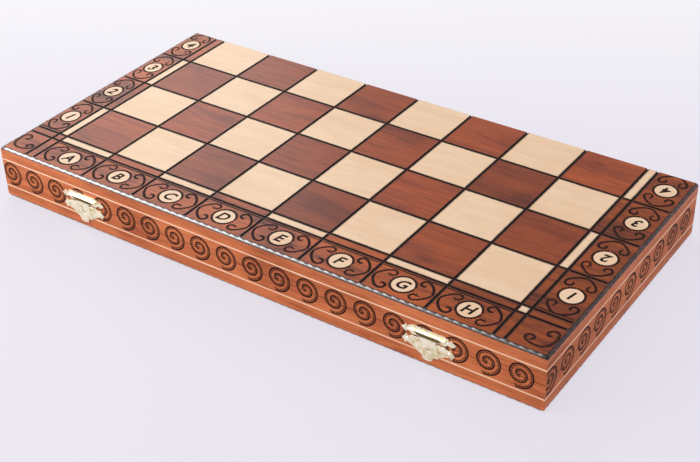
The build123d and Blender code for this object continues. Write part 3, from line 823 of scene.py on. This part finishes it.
def brass(name, knuckle_z=None):
    """Thin plated sheet, cloudy with handling. Where a knuckle's height is given, painted shade darkens a
    band just under the knuckle, beside the clasps."""
    material, tree, shader, place = new_material(name, Metallic=1.0, Roughness=0.3)
    cloud = speckle(tree, place, 260.0, 4.0)
    colour = blended(tree, band(tree, cloud, 0.35, 0.75), BRIGHT_BRASS, DULL_BRASS)
    if knuckle_z is not None:
        # Painted shade: a dark band just under each clasp's knuckle.
        axes = put(tree, "SeparateXYZ", {0: place}).outputs
        beside = apart(tree, calc(tree, "ABSOLUTE", axes[0]), CLASPS[1])
        below = band(tree, apart(tree, axes[2], knuckle_z - KNUCKLE_DROP), 0.0024, 0.0012)
        painted_shade = calc(tree, "MULTIPLY", below, calc(tree, "LESS_THAN", beside, KNUCKLE_REACH))
        colour = blended(tree, painted_shade, colour, KNUCKLE_SHADE)
    tree.links.new(colour, shader.inputs["Base Color"])
    tree.links.new(calc(tree, "MULTIPLY_ADD", cloud, 0.25, 0.16), shader.inputs["Roughness"])
    bump(tree, shader, cloud, 0.45, 0.0006)
    return material


clasp_brass = brass("clasp_brass", CLASP_AXIS_Z)
hinge_brass = brass("hinge_brass")
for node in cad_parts:
    if any(word in node for word in ("clasp", "hasp", "catch")):
        dress(node, clasp_brass)
    elif "hinge" in node:
        dress(node, hinge_brass)


# The stamping on the clasps: leaf scrolls and a rim of beads, pressed into each plate. It is a thin
# shell on the face of the CAD plate or tongue, with the same outline drawn in a little.

PLATE_FACE = 0.0008
TONGUE_FACE = 0.0018
STUD_DROP = 0.0126
NAILS = {"clasp": (16.2, -1.0), "catch": (17.6, -5.2)}
FOLD_REACH = 4.8
SWELL = 0.28
LEAF = 0.24
RIM_BEAD = 0.18
NAIL_SEAT = 1.5
SUNK = -0.00005
STUD_RADIUS = 0.0014
EYE_RADIUS = 0.0018
UPPER_PLATE = (
    (13.6, 4.2), (14.6, 3.0), (16.0, 3.3), (17.5, 0.8), (18.6, 3.4), (20.0, 1.4), (22.9, -0.4),
    (20.9, -2.6), (18.6, -3.9), (17.2, -2.4), (15.6, -2.6), (14.2, -4.2),
)
CATCH_PLATE = (
    (14.0, -0.9), (15.2, -2.4), (17.4, -2.4), (19.0, -0.9), (19.6, -3.2), (22.3, -6.1), (20.6, -7.6),
    (19.6, -10.1), (17.6, -8.3), (15.2, -9.1), (11.9, -10.7), (9.7, -11.5), (7.8, -14.2), (4.6, -14.8),
)
TONGUE = (
    (10.0, -1.3), (10.0, -2.0), (7.2, -3.6), (6.4, -5.4), (7.4, -9.0), (9.4, -12.8),
    (9.1, -15.6), (7.9, -17.5), (6.1, -17.1), (4.6, -19.2), (3.9, -21.6), (1.6, -22.4),
)


def edge_distance(points, outline):
    """Distance from each point to the nearest side of a closed outline."""
    start, end = outline, np.roll(outline, -1, axis=0)
    along = end - start
    t = ((points[:, None] - start) * along).sum(2) / (along**2).sum(1)
    near = start + np.clip(t, 0, 1)[..., None] * along
    return np.linalg.norm(points[:, None] - near, axis=2).min(1)


def filled(outline, spacing, hole=None):
    """Triangles inside an outline, with points on a grid and, round a hole, none inside it."""
    low, high = outline.min(0), outline.max(0)
    u, v = np.meshgrid(np.arange(low[0], high[0], spacing), np.arange(low[1], high[1], spacing))
    grid = np.stack([u.ravel(), v.ravel()], 1)
    grid = grid[edge_distance(grid, outline) > spacing * 0.45]
    loops = [outline]
    if hole is not None:
        loops.append(hole[:2] + circle(hole[2], 20))
        grid = grid[np.linalg.norm(grid - hole[:2], axis=1) > hole[2] + spacing * 0.4]
    points, edges, count = [], [], 0
    for loop in loops:
        ring = np.arange(len(loop))
        points.append(loop)
        edges += np.stack([count + ring, count + (ring + 1) % len(loop)], 1).tolist()
        count += len(loop)
    every = np.vstack(points + [grid])
    made = delaunay_2d_cdt([Vector(q) for q in every], edges, [], 2 if hole is not None else 1, 1e-9)
    flat = np.array([tuple(q) for q in made[0]])
    faces = np.array([f for f in made[2] if len(f) == 3])
    middle = flat[faces].mean(1)
    inside = winding(middle, outline)
    if hole is not None:
        inside &= np.linalg.norm(middle - hole[:2], axis=1) > hole[2] * 0.98
    return flat, faces[inside]


def winding(points, outline):
    """True for each point inside a closed outline, by counting the sides that a ray to the right crosses."""
    a, b = outline, np.roll(outline, -1, axis=0)
    spans = (a[:, 1] > points[:, None, 1]) != (b[:, 1] > points[:, None, 1])
    run = np.where(b[:, 1] == a[:, 1], 1.0, b[:, 1] - a[:, 1])
    cut = a[:, 0] + (points[:, None, 1] - a[:, 1]) * (b[:, 0] - a[:, 0]) / run
    return (spans & (points[:, None, 0] < cut)).sum(1) % 2 == 1


def full_outline(half, spacing):
    """A plate's outline from its right half, with points at an even spacing."""
    half = np.array(half) / 1000
    both = np.vstack([half, half[::-1] * np.array([-1, 1])])
    return resampled(np.vstack([both, both[:1]]), spacing)[:-1]


def stamped(half, hole=None, nail=None, folds=False):
    """Height of the stamping: a raised middle that falls to the rim, beads along the rim and leaf scrolls.
    Where two pieces fold onto each other it is kept low beside the axis: cap = 0.06 mm + 0.07 * distance."""
    outline = full_outline(half, 0.0006)
    flat, faces = filled(outline, 0.00055, hole)
    reach = edge_distance(flat, outline)
    u, v = flat[:, 0] * 1000, flat[:, 1] * 1000
    swell = SWELL * np.clip(reach / 0.0016, 0, 1) ** 0.6
    leaves = LEAF * np.sin(1.15 * np.abs(u) + 1.9 * np.sin(0.55 * v)) * np.cos(0.95 * v + 0.25 * np.abs(u))
    bead = RIM_BEAD * np.clip(1 - np.abs(reach - 0.0010) / 0.0006, 0, 1) * (0.5 + 0.5 * np.cos(3.1 * (u + v)))
    height = (swell + leaves * np.clip(reach / 0.0022, 0, 1) + bead) / 1000
    if hole is not None:
        collar = np.linalg.norm(flat - hole[:2], axis=1) - hole[2]
        height = np.where(collar < 0.0012, 0.00030, height)
    if nail is not None:
        seat = np.hypot(np.abs(u) - nail[0], v - nail[1])
        height = np.where(seat < NAIL_SEAT, 0.00004, height)
    if folds:
        cap = (0.06 + 0.07 * np.abs(v)) / 1000
        height = np.where(np.abs(v) < FOLD_REACH, np.minimum(height, cap), height)
    height[reach < 1e-6] = SUNK
    return flat, np.maximum(height, SUNK), faces


def on_front(name, shape, z, face, body):
    """Lays one stamping on the front of both clasps, with its origin at height z, face out from the rail."""
    flat, height, faces = shape
    for side, x in zip(("left", "right"), CLASPS):
        points = np.stack([flat[:, 0] + x, -HALF_DEPTH - face - height, flat[:, 1] + z], 1)
        surface(f"{name}_{side}", points, faces, clasp_brass, body.format(side), "brass")


stud = np.array([0, CLASP_AXIS_Z - SEAM - STUD_DROP, STUD_RADIUS])
eye = np.array([0, -STUD_DROP, EYE_RADIUS])
upper_shape = stamped(UPPER_PLATE, nail=NAILS["clasp"], folds=True)
catch_shape = stamped(CATCH_PLATE, stud, NAILS["catch"])
tongue_shape = stamped(TONGUE, eye, folds=True)
on_front("clasp_plate_stamping", upper_shape, CLASP_AXIS_Z, PLATE_FACE, "upper_box")
on_front("catch_plate_stamping", catch_shape, SEAM, PLATE_FACE, "lower_box")
on_front("hasp_stamping", tongue_shape, CLASP_AXIS_Z, TONGUE_FACE, "hasp_{}")


# Inside the case: green felt is laid on the floor of the insert and in the lid, between slots of
# pale wood. The felt is a soft sheet, cut to the inside of the case and glued down.

FELT_PILE = 0.00025
FELT_COLUMNS = 101
FELT_ROWS = 49
FELT = (0.016, 0.070, 0.030, 1)
FELT_TIPS = (0.028, 0.115, 0.052, 1)


def felt_finish():
    """Napped green wool: fine specks over slow clouds."""
    material, tree, shader, place = new_material("green_felt", Roughness=0.95, Sheen_Weight=0.4)
    nap = speckle(tree, place, 1400.0, 4.0)
    cloud = calc(tree, "MULTIPLY", speckle(tree, place, 60.0, 3.0), 0.5)
    mask = band(tree, calc(tree, "MULTIPLY_ADD", nap, 0.6, cloud), 0.35, 0.75)
    tree.links.new(blended(tree, mask, FELT, FELT_TIPS), shader.inputs["Base Color"])
    bump(tree, shader, nap, 0.6, 0.0006)
    return material


felt_material = felt_finish()


def felt_sheet(name, node, body, up):
    """A sheet over a node's box: height = pile * (sum of three slow waves), thinner than the node."""
    low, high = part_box(node)
    across, along = np.linspace(low.x, high.x, FELT_COLUMNS), np.linspace(low.y, high.y, FELT_ROWS)
    u, v = np.meshgrid(across, along, indexing="ij")
    waves = np.sin(u * 61 + 1.3) * np.cos(v * 47) + 0.6 * np.sin(v * 83 - u * 29) + 0.4 * np.cos(u * 131)
    top = (high.z if up > 0 else low.z) - up * (FELT_PILE * (1 + 0.35 * waves))
    points = np.stack([u.ravel(), v.ravel(), top.ravel()], 1)
    faces = grid_faces(FELT_COLUMNS, FELT_ROWS)
    piece = surface(name, points, faces if up > 0 else faces[:, ::-1], felt_material, body, "felt")
    wall = piece.modifiers.new("thickness", "SOLIDIFY")
    wall.thickness = (high.z - low.z) * 0.5
    wall.offset = -1
    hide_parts(node)
    return piece


felt_sheet("felt_floor", "insert_floor", "lower_box", 1)
felt_sheet("felt_lid", "lid_lining", "upper_box", -1)

INSERT_WOOD = (0.50, 0.30, 0.14, 1)
INSERT_DEEP = (0.34, 0.18, 0.08, 1)
insert_material = wood("insert_wood", ALONG_Y, INSERT_WOOD, INSERT_DEEP, 0.15, Roughness=0.5)
for node in ("insert_bars", "insert_long_ribs", "insert_short_ribs"):
    dress(node, insert_material)


# The men, turned from one pale and one dark wood and waxed. Each lies on its side in its slot. They
# stand for the faceted CAD men, with full collars, carved crowns and carved horses' heads.

FLOOR_Z = 0.0065
SLOT_PITCH = 0.041
LAST_SLOT = 11
FLAT = np.cos(np.pi / 10)
LONG_BASE = -0.116
SHORT_NEAR = -0.0055
SHORT_FAR = 0.116
MEN = {
    "king": (
        (0, 0), (0, 16.0), (1, 17.5), (4, 17.5), (5, 15.5), (6.5, 16.2), (8, 14.6), (11, 11.8),
        (13, 12.4), (15.5, 11.0), (20, 8.4), (34, 6.0), (60, 5.2), (62, 6.4), (64, 9.4), (66.5, 9.4),
        (68, 6.6), (70, 7.2), (79, 9.2), (85.5, 11.0), (87, 10.6), (89, 8.5), (91.5, 4.0), (92.5, 2.2),
        (94, 2.0), (94, 0),
    ),
    "queen": (
        (0, 0), (0, 15.6), (1, 17.0), (4, 17.0), (5, 15.0), (6.5, 15.6), (8, 14.0), (10.5, 11.4),
        (12.5, 12.0), (15, 10.6), (19, 8.0), (32, 5.8), (55, 5.0), (57, 6.2), (59, 8.9), (61.5, 8.9),
        (63, 6.0), (65, 6.6), (73, 8.6), (79.5, 11.4), (81, 10.0), (82, 8.0), (85, 6.0), (87, 2.4),
        (89, 2.6), (90, 1.2), (90, 0),
    ),
    "bishop": (
        (0, 0), (0, 14.8), (1, 16.0), (3.5, 16.0), (4.5, 14.0), (6, 14.6), (7.5, 12.8), (10, 10.6),
        (12, 11.2), (14, 9.8), (18, 7.4), (29, 5.2), (44, 4.6), (46, 5.4), (48, 8.1), (50.5, 8.1),
        (52, 5.2), (54, 5.6), (60, 8.2), (64, 8.5), (69, 6.2), (74, 2.2), (76, 2.4), (78, 2.4), (79, 1.2),
        (79, 0),
    ),
    "knight": (
        (0, 0), (0, 14.8), (1, 16.0), (3.5, 16.0), (4.5, 14.2), (6, 14.8), (8, 13.2), (11, 11.4),
        (13, 11.9), (15.5, 10.8), (19, 10.8), (19, 0),
    ),
    "rook": (
        (0, 0), (0, 14.8), (1, 16.0), (3.5, 16.0), (4.5, 14.2), (6, 14.8), (7.5, 13.2), (10, 11.0),
        (12, 11.6), (14, 10.2), (18, 8.6), (28, 7.2), (38, 7.0), (40, 8.4), (42, 10.4), (44, 11.8),
        (56, 11.8), (56, 8.4), (52.5, 8.0), (52.5, 0),
    ),
    "pawn": (
        (0, 0), (0, 12.8), (1, 14.0), (3.5, 14.0), (4.5, 12.2), (6, 12.6), (7.5, 10.8), (9.5, 9.2),
        (11, 9.7), (13, 8.2), (17, 6.4), (30, 4.4), (31.5, 5.0), (33, 7.5), (35.5, 7.5), (37, 5.0),
        (39, 5.2), (42, 7.8), (46, 8.5), (50, 7.2), (52.6, 4.6), (54, 1.6), (54, 0),
    ),
}
RIM_CUTS = {"queen": (8, 79.0, 8.4), "rook": (4, 52.6, 8.3)}
NOTCH_EDGE = -0.35
TURNED_SIDES = 40
RING_STEP = 0.004


def turned_man(kind):
    """A profile turned about an axis along v, with more rings on long stretches. In a crown, the rim
    drops in notches: height falls to the cut where cos(n * angle) is below the notch's edge."""
    rings = np.array(MEN[kind], float) / 1000
    rings[:, 1] *= FLAT
    fine = [rings[0]]
    for a, b in zip(rings[:-1], rings[1:]):
        steps = max(int(np.linalg.norm(b - a) / RING_STEP), 1)
        fine += [a + (b - a) * (k + 1) / steps for k in range(steps)]
    fine = np.array(fine)
    turn = np.arange(TURNED_SIDES) * 2 * np.pi / TURNED_SIDES
    height = np.repeat(fine[:, :1], TURNED_SIDES, 1)
    radius = np.repeat(fine[:, 1:], TURNED_SIDES, 1)
    if kind in RIM_CUTS:
        count, cut, inner = RIM_CUTS[kind]
        notch = np.cos(count * turn) < NOTCH_EDGE
        high = (height > cut / 1000) & (radius > inner / 1000 * FLAT * 0.98)
        height = np.where(high & notch[None], cut / 1000, height)
    points = np.stack([radius * np.cos(turn), height, radius * np.sin(turn)], 2).reshape(-1, 3)
    return points, ring_faces(len(fine), TURNED_SIDES)[:, [0, 3, 2, 1]]


HORSE = (
    (-9.0, 18.0), (-10.6, 26.0), (-11.2, 36.0), (-10.4, 46.0), (-8.0, 55.0), (-4.4, 62.0), (0.4, 67.4),
    (2.6, 72.8), (4.4, 72.6), (5.2, 67.4), (8.0, 63.6), (10.4, 58.8), (12.6, 53.6), (14.5, 49.4),
    (14.2, 46.4), (12.2, 44.6), (9.4, 45.0), (6.6, 46.6), (4.0, 45.6), (2.4, 42.0), (2.2, 37.0),
    (3.4, 31.0), (6.4, 26.6), (8.8, 22.0), (9.4, 18.0),
)
HORSE_HALF = 0.0063
CHEEK_ROUND = 0.005
MANE_CUT = 0.0006
HORSE_EYE = (0.0048, 0.0600)


def horse_head():
    """Both cheeks of the head: thickness = half * (1 - (1 - reach / 5 mm) ** 2) ** 0.5, with a cut mane
    and an eye."""
    outline = resampled(np.vstack([HORSE, HORSE[:1]]) / 1000.0, 0.0012)[:-1]
    flat, faces = filled(outline, 0.0014)
    reach = edge_distance(flat, outline)
    rise = np.sqrt(np.clip(1 - (1 - np.clip(reach / CHEEK_ROUND, 0, 1)) ** 2, 0, 1)) * HORSE_HALF
    mane = (flat[:, 0] < -0.002) & (flat[:, 1] > 0.024) & (reach > 1e-5)
    cuts = MANE_CUT * (0.5 + 0.5 * np.sin(flat[:, 1] * 1900 + flat[:, 0] * 900))
    rise -= np.where(mane, cuts, 0)
    eye = np.linalg.norm(flat - np.array(HORSE_EYE), axis=1)
    rise += np.where(eye < 0.0018, 0.0005, np.where(eye < 0.0030, -0.0006, 0.0))
    rim = reach < 1e-6
    rise = np.where(rim, 0.0, np.maximum(rise, 0.0003))
    top = np.stack([flat[:, 0], flat[:, 1], rise], 1)
    under = np.stack([flat[:, 0], flat[:, 1], -rise], 1)
    lower = np.where(rim, np.arange(len(flat)), np.arange(len(flat)) + len(flat))
    return np.vstack([top, under]), np.vstack([faces, lower[faces][:, ::-1]])


CROSS_MIDDLE = 0.0972


def crown_cross():
    """The king's cross: two flared bars, whose half width grows from 0.9 to about 1.5 mm outwards."""
    end, waist, tip, arm, half = 0.0040, 0.0009, 0.0015, 0.0014, 0.0011
    corner = np.array([(-tip, -end), (tip, -end), (waist, -waist), (end, -arm), (end, arm), (waist, waist),
                       (tip, end), (-tip, end), (-waist, waist), (-end, arm), (-end, -arm), (-waist, -waist)])
    corner = corner + np.array([0, CROSS_MIDDLE])
    count = len(corner)
    ring = np.arange(count)
    following = np.roll(ring, -1)
    layers = [np.column_stack([corner, np.full(count, z)]) for z in (half, -half)]
    points = np.vstack(layers + [[[0, CROSS_MIDDLE, half], [0, CROSS_MIDDLE, -half]]])
    front_middle, back_middle = np.full(count, 2 * count), np.full(count, 2 * count + 1)
    sides = np.stack([ring, ring + count, following + count, following], 1)
    front = np.stack([ring, following, front_middle, front_middle], 1)
    back = np.stack([following + count, ring + count, back_middle, back_middle], 1)
    return points, np.vstack([sides, front, back])


def with_fourth(faces):
    """Triangles written as quads whose last two corners are the same."""
    return faces if faces.shape[1] == 4 else np.concatenate([faces, faces[:, 2:]], 1)


def man_arrays(kind):
    """All of one man, standing along v with its base at 0."""
    parts = [turned_man(kind)]
    if kind == "knight":
        parts.append(horse_head())
    if kind == "king":
        parts.append(crown_cross())
    return joined([(points, with_fourth(faces)) for points, faces in parts])


ALONG_MEN = (70.0, 9.0, 70.0)
MEN_WOODS = {
    "light": ((0.68, 0.42, 0.19, 1), (0.52, 0.28, 0.11, 1), 0.4),
    "dark": ((0.13, 0.035, 0.014, 1), (0.045, 0.014, 0.008, 1), 0.5),
}
men_materials = {}
for colour, (pale, deep, coat) in MEN_WOODS.items():
    men_materials[colour] = wood(
        f"{colour}_men", ALONG_MEN, pale, deep, 0.12, Roughness=0.36, Coat_Weight=coat, Coat_Roughness=0.15
    )
LONG_ROW_SLOTS = {"king": (0,), "queen": (1,), "bishop": (2, 3), "knight": (4, 5)}
PAIR_ROW_SLOTS = {"rook": (0,), "pawn": (1, 2, 3, 4)}


def group_of_men(colour, kind, columns, bases):
    """Every man of one kind and colour, each laid in its slot, as one piece that stands for its CAD node."""
    points, faces = man_arrays(kind)
    lift = FLOOR_Z + np.array(MEN[kind])[:, 1].max() / 1000 * FLAT + 0.00005
    laid = []
    for column in columns:
        slot = column if colour == "light" else LAST_SLOT - column
        for base, away in bases:
            shift = np.array([(slot - LAST_SLOT / 2) * SLOT_PITCH, base, lift])
            laid.append((points * np.array([away, away, 1]) + shift, faces))
    node = f"{colour}_{kind}" + ("" if len(laid) == 1 else "s")
    piece = surface(f"{node}_turned", *joined(laid), men_materials[colour], "lower_box", f"{colour}_men")
    tidy = bmesh.new()
    tidy.from_mesh(piece.data)
    bmesh.ops.remove_doubles(tidy, verts=tidy.verts, dist=1e-6)
    bmesh.ops.dissolve_degenerate(tidy, edges=tidy.edges, dist=1e-7)
    bmesh.ops.recalc_face_normals(tidy, faces=tidy.faces)
    tidy.to_mesh(piece.data)
    tidy.free()
    piece.data.set_sharp_from_angle(angle=0.7)
    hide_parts(node)


for colour in ("light", "dark"):
    for kind, columns in LONG_ROW_SLOTS.items():
        group_of_men(colour, kind, columns, ((LONG_BASE, 1),))
    for kind, columns in PAIR_ROW_SLOTS.items():
        group_of_men(colour, kind, columns, ((SHORT_NEAR, 1), (SHORT_FAR, -1)))


# Studio: a pale floor and backdrop, three soft lamps, one more that only makes glints, and the camera
# at the photograph's place. The camera and the metal see the floor partly as a plain colour.

CAMERA_PLACE = (0.5572, -0.7832, 0.6321)
CAMERA_RIGHT = Vector((0.8269, 0.5621, -0.0190))
CAMERA_BACK = Vector((0.4746, -0.6792, 0.5598))
CAMERA_LENS = 70.04
STUDIO_FLOOR_Z = -0.0003
BACKDROP = (0.83, 0.80, 0.875, 1)
FAR_BACKDROP = (1.0, 0.995, 0.99, 1)
PLAIN_SHARE = 0.78
SKY = (0.93, 0.92, 1.0, 1)
SKY_STRENGTH = 0.75
SKY_SHOWN = (0.93, 0.92, 0.97, 1)


def seen(tree):
    """1 for a ray from the camera and for one that metal or glass sends on, and 0 for any other."""
    rays = put(tree, "LightPath").outputs
    either = calc(tree, "MAXIMUM", rays["Is Camera Ray"], rays["Is Glossy Ray"])
    return calc(tree, "MAXIMUM", either, rays["Is Transmission Ray"])


def floor_finish():
    """Lilac near the case and whiter behind it, lit and plain in shares."""
    material, tree, shader, place = new_material("studio_floor", Roughness=0.6)
    axes = put(tree, "SeparateXYZ", {0: place}).outputs
    behind = calc(tree, "SUBTRACT", axes[1], calc(tree, "MULTIPLY", axes[0], 0.5))
    colour = blended(tree, band(tree, behind, 0.0, 0.9), BACKDROP, FAR_BACKDROP)
    tree.links.new(colour, shader.inputs["Base Color"])
    plain = put(tree, "Emission", {"Color": colour, "Strength": 1.0}).outputs[0]
    share = calc(tree, "MULTIPLY", seen(tree), PLAIN_SHARE)
    mixed = put(tree, "MixShader", {0: share, 1: shader.outputs[0], 2: plain}).outputs[0]
    tree.links.new(mixed, tree.nodes["Material Output"].inputs["Surface"])
    return material


bpy.ops.mesh.primitive_plane_add(size=8, location=(0, 0, STUDIO_FLOOR_Z))
floor = bpy.context.object
floor.name = "studio_floor"
floor.data.materials.append(floor_finish())

world = bpy.data.worlds.new("studio")
bpy.context.scene.world = world
world.use_nodes = True
sky = world.node_tree
dim = put(sky, "Background", {"Color": SKY, "Strength": SKY_STRENGTH}).outputs[0]
shown = put(sky, "Background", {"Color": SKY_SHOWN, "Strength": 1.0}).outputs[0]
either = put(sky, "MixShader", {0: seen(sky), 1: dim, 2: shown}).outputs[0]
sky.links.new(either, sky.nodes["World Output"].inputs["Surface"])


def lamp(name, place, size, watts, glint_only=False):
    """A square soft lamp aimed at the case. One that is only for glints adds nothing to the light level."""
    light = bpy.data.lights.new(name, "AREA")
    light.energy = watts
    light.size = size
    holder = bpy.data.objects.new(name, light)
    bpy.context.scene.collection.objects.link(holder)
    holder.location = place
    holder.visible_diffuse = not glint_only
    holder.visible_camera = False
    holder.rotation_mode = "QUATERNION"
    holder.rotation_quaternion = (Vector((0, 0, 0.02)) - Vector(place)).to_track_quat("-Z", "Y")


lamp("window", (-1.45, 1.2, 1.1), 0.9, 12)
lamp("left_front", (-0.95, -0.95, 0.5), 0.7, 6.4)
lamp("right_fill", (1.7, -0.5, 1.1), 1.2, 1)
lamp("edge_glint", (-1.3, -0.65, 1.15), 1.6, 80, True)

camera = bpy.data.cameras.new("camera")
camera.sensor_width = 36
camera.lens = CAMERA_LENS
viewer = bpy.data.objects.new("camera", camera)
bpy.context.scene.collection.objects.link(viewer)
camera_up = CAMERA_BACK.cross(CAMERA_RIGHT)
turned = Matrix((CAMERA_RIGHT, camera_up, CAMERA_BACK)).transposed().to_4x4()
viewer.matrix_world = Matrix.Translation(CAMERA_PLACE) @ turned
bpy.context.scene.camera = viewer
bpy.context.scene.view_settings.view_transform = "Standard"
